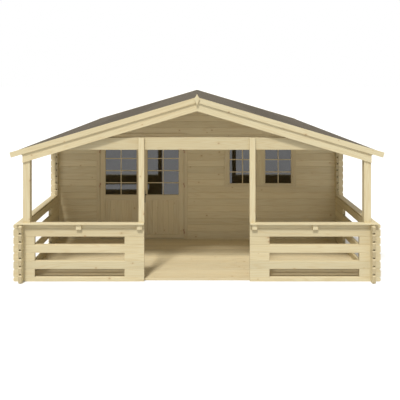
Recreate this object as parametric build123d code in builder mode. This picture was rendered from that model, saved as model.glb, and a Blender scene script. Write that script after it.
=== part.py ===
"""Log cabin with a covered veranda, in millimetres.

Seen from the front, +X is to the right, +Y runs from the veranda to the back wall
and +Z is up. The origin is on the ground, in the middle of the plan.
"""
import os
from math import ceil, cos, floor, radians, sin, tan

from build123d import *

os.makedirs("parts", exist_ok=True)

# Logs
log_pitch = 114.0  # height of one course
log_thickness = 44.0
log_joint = 0.3  # hairline joint between two courses, and in each notch
log_overhang = 100.0  # past the outer face of the wall that a log crosses
log_groove = 4.0  # chamfer along each long edge of a log
log_end_radius = 24.0  # rounding of a log's end, seen from the side
log_end_share = 0.42  # most of a log's height that this rounding may take
tongue_width = 16.0  # tongue on a log under a slot or under a side rail
tongue_height = 9.0
underside_groove_width = 22.0  # groove along a log's underside, over the tongue below
underside_groove_height = 24.0
edge_ease = 4.0  # bevel along the long edges of posts, rails and boards

# Plan
wall_span = 4970.0  # over the outer faces of the two side walls
cabin_depth = 4850.0  # over the outer faces of the front and back walls
veranda_depth = 2000.0  # outer face of the balustrade to outer face of the cabin
entrance_width = 1488.0  # between the two front balustrades
rail_courses = 7  # whole courses in a side balustrade

# Slots in the balustrades, each one course high
slot_entrance_margin = 276.0  # log left beside the entrance
slot_corner_margin = 156.0  # log left beside the front corners
slot_cabin_margin = 520.0  # log left in front of the cabin
slot_relief = 5.0  # planed off the log above a slot
slot_courses = (1, 3, 5)  # counted from the ground

# Rails and the brackets under them
rail_thickness = 20.0
rail_reach = 57.0  # past the outer face of the balustrade
bracket_width = 72.0
bracket_height = 70.0
bracket_depth = 36.0
bracket_spacing = 854.0
brackets_per_side = 2
bracket_inset = 64.0  # middle of the first bracket from the entrance

# Roof
roof_angle = 16.46
ridge_height = 2590.0  # top of the roof covering at the ridge
roof_half_span = 2628.0
roof_back_overhang = 150.0  # past the outer face of the back wall
board_thickness = 19.0
felt_thickness = 3.0
felt_margin = 60.0  # bare boards left along the eaves
cap_width = 120.0  # down each slope
cap_thickness = 2.0
purlin_width = 58.0
purlin_height = 140.0
side_purlin_x = 1240.0

# Boards along the sloping edges of the roof, and the ornament on their front meeting
barge_thickness = 20.0
barge_rise = 5.0  # upper board above the roof covering
upper_barge_width = 75.0
lower_barge_width = 163.0
ornament_width = 76.0
ornament_height = 158.0
ornament_thickness = 18.0
ornament_widest = 72.0  # from its top down to its widest place
ornament_rise = 50.0  # its top above the top of the roof covering

# Posts and beam
inner_post_side = 80.0
outer_post_side = 100.0
outer_post_lap = 12.0  # outer post past the inner face of the side wall
post_setback = 2.0  # front of a post behind the front of the balustrade
plate_relief = 60.0  # taken off the underside of the eaves log over the veranda
beam_thickness = 44.0
beam_height = 175.0
beam_bottom = 1847.0
beam_setback = 38.0  # front of the beam behind the front of a post

# Floors
floor_thickness = 28.0
floor_gap = 0.3  # round the floors

# Double door
door_centre_x = -969.5
leaf_pair_width = 1477.0
leaf_thickness = 40.0
leaf_bottom = 50.0
leaf_top = 1831.0
leaf_gap = 5.0  # round the leaves
leaf_meeting_gap = 8.0
leaf_stile = 86.0
leaf_glass_bottom = 810.0
leaf_glass_top = 1668.0
leaf_mid_rail = 92.0
leaf_bottom_rail = 60.0
panel_thickness = 18.0
leaf_setback = 4.0  # front of a leaf behind the front of the trim
jamb_thickness = 30.0
trim_width = 59.0
trim_thickness = 18.0
stop_thickness = 12.0
stop_lap = 12.0  # how far the stop stands behind the edge of a leaf
sill_height = 42.0
glass_thickness = 6.0

# Door furniture
plate_width = 34.0
plate_height = 212.0
plate_thickness = 4.0
plate_centre_z = 785.0
plate_inset = 35.0  # its middle from the meeting edge of the leaf
lever_z = 822.0
lever_length = 46.0
lever_thickness = 16.0
lever_reach = 44.0
neck_radius = 9.0
hinge_radius = 7.0
hinge_length = 80.0
hinge_plate_width = 20.0
hinge_plate_thickness = 2.5
hinge_clearance = 1.5  # barrel in front of the trim
knuckle_gap = 0.3  # between the two halves of a barrel
hinge_heights = (170.0, 985.0, 1590.0)

# Double window
window_centre_x = 1119.0
window_trim_width = 1258.0  # over the outer trim
window_trim_top = 1827.0
window_trim_bottom = 952.0
frame_lap = 17.0  # trim past the edge of an opening
window_sill_board = 36.0  # height of the trim below the sashes
window_mullion = 118.0
sash_thickness = 40.0
sash_stile = 21.0
sash_top_rail = 104.0
sash_gap = 0.3  # round a sash
sash_setback = 6.0  # front of a sash behind the front of the trim

# Places worked out from the driving sizes
slope = radians(roof_angle)
rise = tan(slope)
wall_x = wall_span / 2  # outer face of the right side wall
wall_inner_x = wall_x - log_thickness
side_log_x = wall_x - log_thickness / 2
log_end_x = wall_x + log_overhang
notch_depth = log_pitch / 4 + log_joint / 2
half_course = log_pitch / 2
roof_underside = felt_thickness + board_thickness  # depth below the top of the covering

front_reach = max(log_overhang, rail_reach, 2 * barge_thickness + ornament_thickness)
back_reach = max(log_overhang, roof_back_overhang + barge_thickness)
front_y = -(veranda_depth + cabin_depth + back_reach - front_reach) / 2
cabin_y = front_y + veranda_depth  # outer face of the cabin's front wall
back_y = cabin_y + cabin_depth  # outer face of the back wall
post_y = front_y + post_setback
beam_y = post_y + beam_setback
roof_front_y = post_y - barge_thickness
roof_back_y = back_y + roof_back_overhang
front_log_y = front_y + log_thickness / 2
cabin_log_y = cabin_y + log_thickness / 2
back_log_y = back_y - log_thickness / 2
cabin_inner_y = cabin_y + log_thickness
back_inner_y = back_y - log_thickness

rail_bottom = rail_courses * log_pitch + tongue_height
rail_top = rail_bottom + rail_thickness
entrance_x = entrance_width / 2
outer_post_x = wall_inner_x + outer_post_lap  # outer face of the right outer post
beam_top = beam_bottom + beam_height

leaf_width = (leaf_pair_width - leaf_meeting_gap) / 2
trim_y = cabin_y - trim_thickness
leaf_y = trim_y + leaf_setback  # front face of a closed leaf
jamb_x = leaf_pair_width / 2 + leaf_gap  # inner face of a jamb from the door's middle
door_hole_x = jamb_x + jamb_thickness
door_hole_top = leaf_top + leaf_gap + jamb_thickness
window_hole_x = window_trim_width / 2 - frame_lap
window_hole_bottom = window_trim_bottom + frame_lap
window_hole_top = window_trim_top - frame_lap
sash_y = trim_y + sash_setback
window_inner_x = window_trim_width / 2 - trim_width
sash_bottom = window_trim_bottom + window_sill_board
sash_top = window_trim_top - trim_width


def keep(part, name):
    """Label a finished piece and write it."""
    part.label = name
    export_step(part, f"parts/{name}.step")


def keep_pair(part, name):
    """Write a right-hand piece and its mirror image on the left."""
    keep(part, f"right_{name}")
    with BuildPart() as twin:
        mirror(part, about=Plane.YZ)
    keep(twin.part, f"left_{name}")


def roof_z(x, depth=0.0):
    """Height of the roof at x, at a depth measured square to the slope."""
    return ridge_height - abs(x) * rise - depth / cos(slope)


def eaves_point(depth, reach=roof_half_span):
    """Corner of an end cut square to the right-hand slope, at a depth below its top."""
    return (reach - depth * sin(slope), ridge_height - reach * rise - depth * cos(slope))


def block(low, high, eased_along=None):
    """Box between two corners. eased_along is the axis of the edges that are bevelled."""
    size = [b - a for a, b in zip(low, high)]
    middle = [(a + b) / 2 for a, b in zip(low, high)]
    with BuildPart() as piece:
        with Locations(tuple(middle)):
            Box(*size)
        if eased_along:
            chamfer(piece.edges().filter_by(eased_along), edge_ease)
    return piece.part


# Courses of a side wall, whose last log is bevelled to the roof and carries the eaves
wall_courses = floor(roof_z(wall_inner_x, roof_underside) / log_pitch)
plate_bottom = (wall_courses - 1) * log_pitch
veranda_plate_bottom = plate_bottom + plate_relief


def slope_slab(top_depth, bottom_depth, low_y, high_y):
    """Slab along the right-hand slope, between two depths below its top."""
    with BuildPart() as slab:
        with BuildSketch(Plane.XZ.offset(-low_y)):
            Polygon(
                (0, roof_z(0, top_depth)),
                eaves_point(top_depth),
                eaves_point(bottom_depth),
                (0, roof_z(0, bottom_depth)),
                align=None,
            )
        extrude(amount=low_y - high_y)
    return slab.part


def cross_course(number):
    """Bottom and top of a course in a wall that runs across, which starts with half a log."""
    bottom = half_course + (number - 1) * log_pitch
    return max(bottom, 0.0), bottom + log_pitch


def side_course(number):
    """Bottom and top of a course in a wall that runs front to back."""
    return number * log_pitch, (number + 1) * log_pitch


def notches(course, middles, below=True, above=True):
    """Places cut out of a log where it crosses other walls, as low and high corners."""
    bottom, top = course
    half_width = log_thickness / 2 + log_joint
    cuts = []
    for middle in middles:
        if below:
            cuts.append((middle - half_width, bottom - log_joint, middle + half_width,
                         bottom + notch_depth))
        if above:
            cuts.append((middle - half_width, top - notch_depth, middle + half_width,
                         top + log_pitch))
    return cuts


def slotted(number, course, start, slot_start, slot_stop, stop, cuts):
    """Spans of log in one course of a balustrade: two beside a slot, or else one.
    A log above a slot is planed a little along it."""
    if number in slot_courses:
        return [(start, slot_start), (slot_stop, stop)]
    if number - 1 in slot_courses:
        cuts.append((slot_start, course[0] - log_joint, slot_stop, course[0] + slot_relief))
    return [(start, stop)]


def slot_tongue(number, slot_start, slot_stop):
    """Span of the tongue on a log that has a slot above it, or nothing."""
    if number + 1 in slot_courses:
        return (slot_start + log_joint, slot_stop - log_joint)
    return None


def lay_log(wall, start, stop, course, cuts=(), round_start=True, round_stop=True,
            under_roof=False, tongue=None):
    """One log along a wall. wall is a plane through its middle, x along it and y up.
    tongue is the span along which its tongue shows."""
    bottom = course[0] + (log_joint / 2 if course[0] > 0 else 0)
    top = course[1] - log_joint / 2
    length = stop - start
    height = top - bottom
    middle_z = (bottom + top) / 2
    end_face = Plane(
        origin=wall.from_local_coords((start, middle_z, 0)),
        x_dir=-wall.z_dir,
        z_dir=wall.x_dir,
    )
    with BuildPart() as log:
        with BuildSketch(wall):
            with Locations(((start + stop) / 2, middle_z)):
                Rectangle(length, height)
            corners = vertices().sort_by(Axis.X)
            chosen = (corners[:2] if round_start else []) + (corners[-2:] if round_stop else [])
            if chosen:
                fillet(chosen, min(log_end_radius, log_end_share * height))
            for low_x, low_z, high_x, high_z in cuts:
                with Locations(((low_x + high_x) / 2, (low_z + high_z) / 2)):
                    Rectangle(high_x - low_x, high_z - low_z, mode=Mode.SUBTRACT)
        extrude(amount=log_thickness / 2, both=True)
        with BuildSketch(end_face):
            Rectangle(log_thickness, height)
            chamfer(vertices(), log_groove)
            if bottom > 0:
                with Locations((0, (underside_groove_height - height) / 2)):
                    Rectangle(underside_groove_width, underside_groove_height,
                              mode=Mode.SUBTRACT)
        extrude(amount=length, mode=Mode.INTERSECT)
        if tongue:
            tongue_top = course[1] + tongue_height
            with BuildSketch(wall):
                with Locations((sum(tongue) / 2, (top + tongue_top) / 2)):
                    Rectangle(tongue[1] - tongue[0], tongue_top - top)
            extrude(amount=tongue_width / 2, both=True)
        if under_roof:
            add(above_roof.part, mode=Mode.SUBTRACT)
    return log.part


def stack(logs):
    """The logs of one wall, as separate solids."""
    with BuildPart() as wall:
        add(logs)
    return wall.part


def frame_ring(low_x, high_x, low_z, high_z, hole, low_y, high_y):
    """Frame that stands across the cabin's front. hole is (low x, high x, low z, high z)."""
    hole_low_x, hole_high_x, hole_low_z, hole_high_z = hole
    with BuildPart() as ring:
        with BuildSketch(Plane.XZ.offset(-low_y)):
            with Locations(((low_x + high_x) / 2, (low_z + high_z) / 2)):
                Rectangle(high_x - low_x, high_z - low_z)
            with Locations(((hole_low_x + hole_high_x) / 2, (hole_low_z + hole_high_z) / 2)):
                Rectangle(hole_high_x - hole_low_x, hole_high_z - hole_low_z,
                          mode=Mode.SUBTRACT)
        extrude(amount=low_y - high_y)
    return ring.part


# Everything above the underside of the roof boards, to cut with
far_x = 2 * roof_half_span
with BuildPart() as above_roof:
    with BuildSketch(Plane.XZ):
        Polygon(
            (-far_x, roof_z(far_x, roof_underside)),
            (0, roof_z(0, roof_underside)),
            (far_x, roof_z(far_x, roof_underside)),
            (far_x, 2 * ridge_height),
            (-far_x, 2 * ridge_height),
            align=None,
        )
    extrude(amount=veranda_depth + cabin_depth, both=True)

# Log walls of the balustrade and the cabin
front_wall_plane = Plane.XZ.offset(-front_log_y)
cabin_wall_plane = Plane.XZ.offset(-cabin_log_y)
back_wall_plane = Plane.XZ.offset(-back_log_y)
side_wall_plane = Plane.YZ.offset(side_log_x)


def front_balustrade_logs():
    """Right-hand front balustrade: half a log, whole logs, then half a log under the rail."""
    logs = []
    for number in range(rail_courses + 1):
        bottom, top = cross_course(number)
        is_top = number == rail_courses
        cuts = notches((bottom, top), [side_log_x], below=number > 0, above=not is_top)
        course = (bottom, rail_bottom + log_joint / 2 if is_top else top)
        slot_start = entrance_x + slot_entrance_margin
        slot_stop = wall_inner_x - slot_corner_margin
        for start, stop in slotted(number, course, entrance_x, slot_start, slot_stop,
                                   log_end_x, cuts):
            logs.append(lay_log(front_wall_plane, start, stop, course, cuts,
                                round_start=False, round_stop=stop == log_end_x,
                                tongue=slot_tongue(number, slot_start, slot_stop)))
    return logs


def lower_side_logs():
    """Right side up to the rail: logs that run the whole length of the building."""
    logs = []
    crossings = [front_log_y, cabin_log_y, back_log_y]
    first_y = front_y - log_overhang
    last_y = back_y + log_overhang
    slot_start = front_y + log_thickness + slot_corner_margin
    slot_stop = cabin_y - slot_cabin_margin
    rail_tongue = (front_y + log_thickness + log_joint, cabin_y - log_overhang - log_joint)
    for number in range(rail_courses):
        course = side_course(number)
        cuts = notches(course, crossings)
        tongue = slot_tongue(number, slot_start, slot_stop)
        if number == rail_courses - 1:
            tongue = rail_tongue
        for start, stop in slotted(number, course, first_y, slot_start, slot_stop, last_y, cuts):
            logs.append(lay_log(side_wall_plane, start, stop, course, cuts,
                                round_start=start == first_y, round_stop=stop == last_y,
                                tongue=tongue))
    return logs


def upper_side_logs():
    """Right side above the rail. The top log runs on to the beam and carries the eaves."""
    logs = []
    crossings = [cabin_log_y, back_log_y]
    for number in range(rail_courses, wall_courses):
        bottom, top = side_course(number)
        is_top = number == wall_courses - 1
        cuts = notches((bottom, top), crossings)
        start = cabin_y - log_overhang
        if is_top:
            cuts.append((beam_y, bottom - log_joint, start, veranda_plate_bottom))
            start = beam_y
        course = (bottom, top + log_pitch if is_top else top)
        logs.append(lay_log(side_wall_plane, start, back_y + log_overhang, course, cuts,
                            round_start=not is_top, under_roof=is_top))
    return logs


def purlin_cuts():
    """Places for the purlins in the gables."""
    half_width = purlin_width / 2 + log_joint
    cuts = []
    for x in (-side_purlin_x, 0, side_purlin_x):
        low = roof_z(x, roof_underside) - purlin_height - log_joint
        cuts.append((x - half_width, low, x + half_width, ridge_height))
    return cuts


def cross_crossings(number, start, stop):
    """Notches over the side walls for a log between start and stop."""
    middles = [x for x in (-side_log_x, side_log_x) if start < x < stop]
    under_plate = side_course(wall_courses - 1)[1] - notch_depth
    course = cross_course(number)
    if course[0] > under_plate:
        return []
    return notches(course, middles, below=number > 0,
                   above=course[1] - notch_depth < under_plate)


def cross_logs(plane, start, stop, numbers, holes=()):
    """Logs across the cabin, with their places for side walls, purlins and openings."""
    logs = []
    for number in numbers:
        bottom, top = cross_course(number)
        cuts = cross_crossings(number, start, stop) + purlin_cuts()
        for low_x, low_z, high_x, high_z in holes:
            if low_z < top and high_z > bottom:
                cuts.append((low_x, low_z, high_x, high_z))
        under_roof = top + log_pitch > roof_z(log_end_x, roof_underside)
        logs.append(lay_log(plane, start, stop, (bottom, top), cuts,
                            round_start=abs(start) == log_end_x,
                            round_stop=abs(stop) == log_end_x, under_roof=under_roof))
    return logs


door_hole = (door_centre_x - door_hole_x, -log_pitch,
             door_centre_x + door_hole_x, door_hole_top)
window_hole = (window_centre_x - window_hole_x, window_hole_bottom,
               window_centre_x + window_hole_x, window_hole_top)
courses_beside_door = [n for n in range(1, 2 * wall_courses)
                       if cross_course(n)[1] <= door_hole_top]
door_courses = len(courses_beside_door) + 1
gable_courses = ceil((roof_z(0, roof_underside) - half_course) / log_pitch) + 1

keep_pair(stack(front_balustrade_logs()), "front_balustrade")
keep_pair(stack(lower_side_logs()), "side_lower_logs")
keep_pair(stack(upper_side_logs()), "side_upper_logs")
keep(stack(cross_logs(cabin_wall_plane, -log_end_x, door_hole[0], range(door_courses))),
     "front_wall_left")
keep(stack(cross_logs(cabin_wall_plane, door_hole[2], log_end_x, range(door_courses),
                      [window_hole])), "front_wall_right")
keep(stack(cross_logs(cabin_wall_plane, -log_end_x, log_end_x,
                      range(door_courses, gable_courses), [door_hole, window_hole])),
     "front_gable")
keep(stack(cross_logs(back_wall_plane, -log_end_x, log_end_x, range(gable_courses))),
     "back_wall")

# Floors
with BuildPart() as veranda_floor:
    with Locations((0, (front_y + log_thickness + cabin_y) / 2, floor_thickness / 2)):
        Box(2 * (wall_inner_x - floor_gap), veranda_depth - log_thickness - 2 * floor_gap,
            floor_thickness)
keep(veranda_floor.part, "veranda_floor")

with BuildPart() as cabin_floor:
    with Locations((0, (cabin_inner_y + back_inner_y) / 2, floor_thickness / 2)):
        Box(2 * (wall_inner_x - floor_gap), cabin_depth - 2 * (log_thickness + floor_gap),
            floor_thickness)
keep(cabin_floor.part, "cabin_floor")

# Rails on the balustrades
keep_pair(block((entrance_x, front_y - rail_reach, rail_bottom),
                (wall_x + rail_reach, front_y + log_thickness, rail_top), Axis.X),
          "front_rail")
keep_pair(block((wall_inner_x, front_y + log_thickness + log_joint, rail_bottom),
                (wall_x + rail_reach, cabin_y - log_overhang - log_joint, rail_top), Axis.Y),
          "side_rail")

with BuildPart() as rail_brackets:
    for side in (-1, 1):
        for step in range(brackets_per_side):
            x = side * (entrance_x + bracket_inset + step * bracket_spacing)
            with Locations((x, front_y - bracket_depth / 2, rail_bottom - bracket_height / 2)):
                Box(bracket_width, bracket_depth, bracket_height)
keep(rail_brackets.part, "rail_brackets")

# Posts, with the beam lapped into their backs
with BuildPart() as inner_post:
    add(block((entrance_x, post_y, rail_top),
              (entrance_x + inner_post_side, post_y + inner_post_side, beam_top), Axis.Z))
    add(block((entrance_x, beam_y, beam_bottom),
              (entrance_x + inner_post_side, post_y + beam_setback + inner_post_side,
               beam_top)), mode=Mode.SUBTRACT)
keep_pair(inner_post.part, "inner_post")

with BuildPart() as outer_post:
    add(block((outer_post_x - outer_post_side, post_y, rail_top),
              (outer_post_x, post_y + outer_post_side, ridge_height), Axis.Z))
    add(block((outer_post_x - outer_post_side, beam_y, beam_bottom),
              (outer_post_x, post_y + beam_setback + outer_post_side, ridge_height)),
        mode=Mode.SUBTRACT)
    add(block((wall_inner_x, beam_y, veranda_plate_bottom),
              (outer_post_x, post_y + beam_setback + outer_post_side, ridge_height)),
        mode=Mode.SUBTRACT)
    add(above_roof.part, mode=Mode.SUBTRACT)
keep_pair(outer_post.part, "outer_post")

with BuildPart() as veranda_beam:
    add(block((-wall_inner_x, beam_y, beam_bottom),
              (wall_inner_x, beam_y + beam_thickness, beam_top), Axis.X))
    add(above_roof.part, mode=Mode.SUBTRACT)
keep(veranda_beam.part, "veranda_beam")

# Purlins, held in the gables and by the boards along the roof's edges
for x, name in ((-side_purlin_x, "left_purlin"), (0, "ridge_purlin"),
                (side_purlin_x, "right_purlin")):
    with BuildPart() as purlin:
        add(block((x - purlin_width / 2, roof_front_y + barge_thickness,
                   roof_z(x, roof_underside) - purlin_height),
                  (x + purlin_width / 2, roof_back_y - barge_thickness, ridge_height)))
        add(above_roof.part, mode=Mode.SUBTRACT)
    keep(purlin.part, name)

# Roof boards, covering and ridge cap
keep_pair(slope_slab(felt_thickness, roof_underside, roof_front_y, roof_back_y),
          "roof_boards")

with BuildPart() as roof_felt:
    with BuildSketch(Plane.XZ.offset(-roof_front_y)):
        reach = roof_half_span - felt_margin
        Polygon(
            (0, roof_z(0)),
            eaves_point(0, reach),
            eaves_point(felt_thickness, reach),
            (0, roof_z(0, felt_thickness)),
            align=None,
        )
    extrude(amount=roof_front_y - roof_back_y)
keep_pair(roof_felt.part, "roof_felt")

with BuildPart() as ridge_cap:
    with BuildSketch(Plane.XZ.offset(-roof_front_y)):
        reach = cap_width * cos(slope)
        Polygon(
            (0, roof_z(0, -cap_thickness)),
            (reach, roof_z(reach, -cap_thickness)),
            (reach, roof_z(reach)),
            (0, roof_z(0)),
            (-reach, roof_z(reach)),
            (-reach, roof_z(reach, -cap_thickness)),
            align=None,
        )
    extrude(amount=roof_front_y - roof_back_y)
keep(ridge_cap.part, "ridge_cap")


# Boards along the sloping edges
def barge_boards(edge_y, outward):
    """Upper and lower board on the right-hand slope. outward is -1 in front, 1 behind."""
    upper_ys = sorted((edge_y, edge_y + outward * barge_thickness))
    lower_ys = sorted((edge_y - outward * log_joint, edge_y - outward * barge_thickness))
    upper_bottom = upper_barge_width - barge_rise
    lower_bottom = roof_underside + lower_barge_width
    with BuildPart() as boards:
        with BuildSketch(Plane.XZ.offset(-upper_ys[0])):
            Polygon(
                (log_joint, roof_z(log_joint, -barge_rise)),
                eaves_point(-barge_rise),
                eaves_point(upper_bottom),
                (log_joint, roof_z(log_joint, upper_bottom)),
                align=None,
            )
        extrude(amount=upper_ys[0] - upper_ys[1])
        with BuildSketch(Plane.XZ.offset(-lower_ys[0])):
            Polygon(
                (log_joint, roof_z(log_joint, roof_underside)),
                (outer_post_x, roof_z(outer_post_x, roof_underside)),
                (outer_post_x, roof_z(outer_post_x, lower_bottom)),
                (log_joint, roof_z(log_joint, lower_bottom)),
                align=None,
            )
        extrude(amount=lower_ys[0] - lower_ys[1])
    return boards.part


keep_pair(barge_boards(roof_front_y, -1), "front_barge_boards")
keep_pair(barge_boards(roof_back_y, 1), "back_barge_boards")

# Ornament where the front boards meet
ornament_y = roof_front_y - barge_thickness  # its back, against the boards
ornament_top = ridge_height + ornament_rise
with BuildPart() as ridge_ornament:
    with BuildSketch(Plane.XZ.offset(-ornament_y)):
        Polygon(
            (0, ornament_top),
            (ornament_width / 2, ornament_top - ornament_widest),
            (0, ornament_top - ornament_height),
            (-ornament_width / 2, ornament_top - ornament_widest),
            align=None,
        )
    extrude(amount=ornament_thickness)
keep(ridge_ornament.part, "ridge_ornament")

# Door frame: jambs, head and sill, with a stop behind the leaves
stop_y = leaf_y + leaf_thickness + leaf_gap
with BuildPart() as door_frame:
    add(frame_ring(
        door_centre_x - door_hole_x, door_centre_x + door_hole_x, 0, door_hole_top,
        (door_centre_x - jamb_x, door_centre_x + jamb_x, sill_height, leaf_top + leaf_gap),
        cabin_y, cabin_inner_y))
    add(frame_ring(
        door_centre_x - jamb_x, door_centre_x + jamb_x, 0, leaf_top + leaf_gap,
        (door_centre_x - jamb_x + leaf_gap + stop_lap,
         door_centre_x + jamb_x - leaf_gap - stop_lap,
         leaf_bottom + stop_lap, leaf_top - stop_lap),
        stop_y, stop_y + stop_thickness))
keep(door_frame.part, "door_frame")

# Trim round the door, on the face of the wall
door_trim = frame_ring(
    door_centre_x - jamb_x - trim_width, door_centre_x + jamb_x + trim_width,
    floor_thickness, leaf_top + leaf_gap + trim_width,
    (door_centre_x - jamb_x, door_centre_x + jamb_x, floor_thickness, leaf_top + leaf_gap),
    trim_y, cabin_y)
keep(door_trim, "door_trim")


# Door leaves
def door_leaf(low_x):
    """A framed leaf with a glazed upper half and a boarded lower half."""
    high_x = low_x + leaf_width
    with BuildPart() as leaf:
        add(block((low_x, leaf_y, leaf_bottom), (high_x, leaf_y + leaf_thickness, leaf_top)))
        add(block((low_x + leaf_stile, leaf_y, leaf_glass_bottom),
                  (high_x - leaf_stile, leaf_y + leaf_thickness, leaf_glass_top)),
            mode=Mode.SUBTRACT)
        recess = (leaf_thickness - panel_thickness) / 2
        for near, far in ((leaf_y, leaf_y + recess),
                          (leaf_y + leaf_thickness - recess, leaf_y + leaf_thickness)):
            add(block((low_x + leaf_stile, near, leaf_bottom + leaf_bottom_rail),
                      (high_x - leaf_stile, far, leaf_glass_bottom - leaf_mid_rail)),
                mode=Mode.SUBTRACT)
    return leaf.part


def leaf_glass(low_x):
    """The pane of a leaf, which fills its opening."""
    middle_y = leaf_y + leaf_thickness / 2
    return block(
        (low_x + leaf_stile, middle_y - glass_thickness / 2, leaf_glass_bottom),
        (low_x + leaf_width - leaf_stile, middle_y + glass_thickness / 2, leaf_glass_top))


def hinge_halves(edge_x, inward, on_leaf):
    """The upper halves on a leaf, or the lower halves on the trim beside it."""
    barrel_x = edge_x - inward * leaf_gap / 2
    barrel_y = trim_y - hinge_clearance - hinge_radius
    length = (hinge_length - knuckle_gap) / 2
    with BuildPart() as halves:
        for height in hinge_heights:
            low = height + knuckle_gap / 2 if on_leaf else height - hinge_length / 2
            with Locations((barrel_x, barrel_y, low + length / 2)):
                Cylinder(hinge_radius, length)
            face_y = leaf_y if on_leaf else trim_y
            reach = inward * hinge_plate_width * (1 if on_leaf else -1)
            xs = sorted((barrel_x, barrel_x + reach))
            add(block((xs[0], face_y - hinge_plate_thickness, low),
                      (xs[1], face_y, low + length)))
            if on_leaf:
                web = sorted((barrel_x, barrel_x + inward * hinge_radius / 2))
                add(block((web[0], barrel_y, low), (web[1], leaf_y, low + length)))
    return halves.part


left_leaf_x = door_centre_x - leaf_pair_width / 2
right_leaf_x = left_leaf_x + leaf_width + leaf_meeting_gap
keep(door_leaf(left_leaf_x), "left_door_leaf")
keep(door_leaf(right_leaf_x), "right_door_leaf")
keep(leaf_glass(left_leaf_x), "left_door_glass")
keep(leaf_glass(right_leaf_x), "right_door_glass")
right_edge_x = right_leaf_x + leaf_width
keep(hinge_halves(left_leaf_x, 1, True), "left_door_hinges")
keep(hinge_halves(right_edge_x, -1, True), "right_door_hinges")
with BuildPart() as frame_hinges:
    add(hinge_halves(left_leaf_x, 1, False))
    add(hinge_halves(right_edge_x, -1, False))
keep(frame_hinges.part, "frame_hinges")

# Handle plates and levers on both faces of the right leaf
with BuildPart() as door_handles:
    handle_x = right_leaf_x + plate_inset
    for face_y, outward in ((leaf_y, -1), (leaf_y + leaf_thickness, 1)):
        ys = sorted((face_y, face_y + outward * plate_thickness))
        add(block((handle_x - plate_width / 2, ys[0], plate_centre_z - plate_height / 2),
                  (handle_x + plate_width / 2, ys[1], plate_centre_z + plate_height / 2)))
        neck = sorted((face_y + outward * plate_thickness, face_y + outward * lever_reach))
        with BuildSketch(Plane.XZ.offset(-neck[0])):
            with Locations((handle_x, lever_z)):
                Circle(neck_radius)
        extrude(amount=neck[0] - neck[1])
        ends = sorted((face_y + outward * (lever_reach - lever_thickness),
                       face_y + outward * lever_reach))
        add(block((handle_x - neck_radius, ends[0], lever_z - lever_thickness / 2),
                  (handle_x + lever_length, ends[1], lever_z + lever_thickness / 2)))
keep(door_handles.part, "door_handles")

# Window frame with its mullion and trim
with BuildPart() as window_frame:
    add(frame_ring(
        window_centre_x - window_hole_x, window_centre_x + window_hole_x,
        window_hole_bottom, window_hole_top,
        (window_centre_x - window_inner_x, window_centre_x + window_inner_x,
         sash_bottom, sash_top),
        cabin_y, cabin_inner_y + trim_thickness))
    add(block((window_centre_x - window_mullion / 2, trim_y, sash_bottom),
              (window_centre_x + window_mullion / 2, cabin_inner_y + trim_thickness,
               sash_top)))
keep(window_frame.part, "window_frame")

window_trim = frame_ring(
    window_centre_x - window_trim_width / 2, window_centre_x + window_trim_width / 2,
    window_trim_bottom, window_trim_top,
    (window_centre_x - window_inner_x, window_centre_x + window_inner_x,
     sash_bottom, sash_top),
    trim_y, cabin_y)
keep(window_trim, "window_trim")

# Sashes and their panes
with BuildPart() as window_sashes:
    for side in (-1, 1):
        xs = sorted((window_centre_x + side * (window_mullion / 2 + sash_gap),
                     window_centre_x + side * (window_inner_x - sash_gap)))
        add(frame_ring(
            xs[0], xs[1], sash_bottom + sash_gap, sash_top - sash_gap,
            (xs[0] + sash_stile, xs[1] - sash_stile, sash_bottom + sash_gap + sash_stile,
             sash_top - sash_gap - sash_top_rail),
            sash_y, sash_y + sash_thickness))
keep(window_sashes.part, "window_sashes")

with BuildPart() as window_glass:
    for side in (-1, 1):
        xs = sorted((window_centre_x + side * (window_mullion / 2 + sash_gap + sash_stile),
                     window_centre_x + side * (window_inner_x - sash_gap - sash_stile)))
        middle_y = sash_y + sash_thickness / 2
        add(block(
            (xs[0], middle_y - glass_thickness / 2, sash_bottom + sash_gap + sash_stile),
            (xs[1], middle_y + glass_thickness / 2,
             sash_top - sash_gap - sash_top_rail)))
keep(window_glass.part, "window_glass")
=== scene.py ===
"""Looks of a log cabin with a covered veranda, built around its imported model.

Lengths are in metres and angles in degrees. Seen from the front, +X is to the right,
+Y runs from the veranda to the back wall and +Z is up.
"""

import random
from math import cos, radians, sin

import bmesh
import bpy
from mathutils import Matrix, Vector


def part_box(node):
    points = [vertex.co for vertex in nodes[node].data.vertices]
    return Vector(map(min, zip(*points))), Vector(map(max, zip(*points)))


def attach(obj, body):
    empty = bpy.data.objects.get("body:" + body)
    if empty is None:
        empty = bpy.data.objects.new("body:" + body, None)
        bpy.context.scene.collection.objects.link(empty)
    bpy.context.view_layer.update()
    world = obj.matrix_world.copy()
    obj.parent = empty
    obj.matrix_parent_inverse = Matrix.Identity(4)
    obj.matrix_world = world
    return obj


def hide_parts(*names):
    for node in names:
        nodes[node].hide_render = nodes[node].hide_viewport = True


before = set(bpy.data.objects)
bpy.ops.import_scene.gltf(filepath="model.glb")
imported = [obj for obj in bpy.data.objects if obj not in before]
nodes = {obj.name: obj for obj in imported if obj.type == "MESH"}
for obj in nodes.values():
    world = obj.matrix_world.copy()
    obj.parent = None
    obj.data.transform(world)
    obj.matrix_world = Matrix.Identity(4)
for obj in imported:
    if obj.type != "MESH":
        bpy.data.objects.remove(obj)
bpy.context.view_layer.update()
scene = bpy.context.scene

X, Y, Z = range(3)
QUARTER_TURN = radians(90)
MATRIX_ROWS = 4

# The photograph's frame, in its own pixels
PHOTO_SIZE = 400.0
VANISHING_X = 197.0
HORIZON_Y = 81.3

# Camera, with its lens and sensor in millimetres
LENS = 50.0
SENSOR = 36.0
CAMERA_HEIGHT = 2.817
CAMERA_DISTANCE = 7.82  # in front of the balustrade
CLIP_END = 500.0

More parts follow.
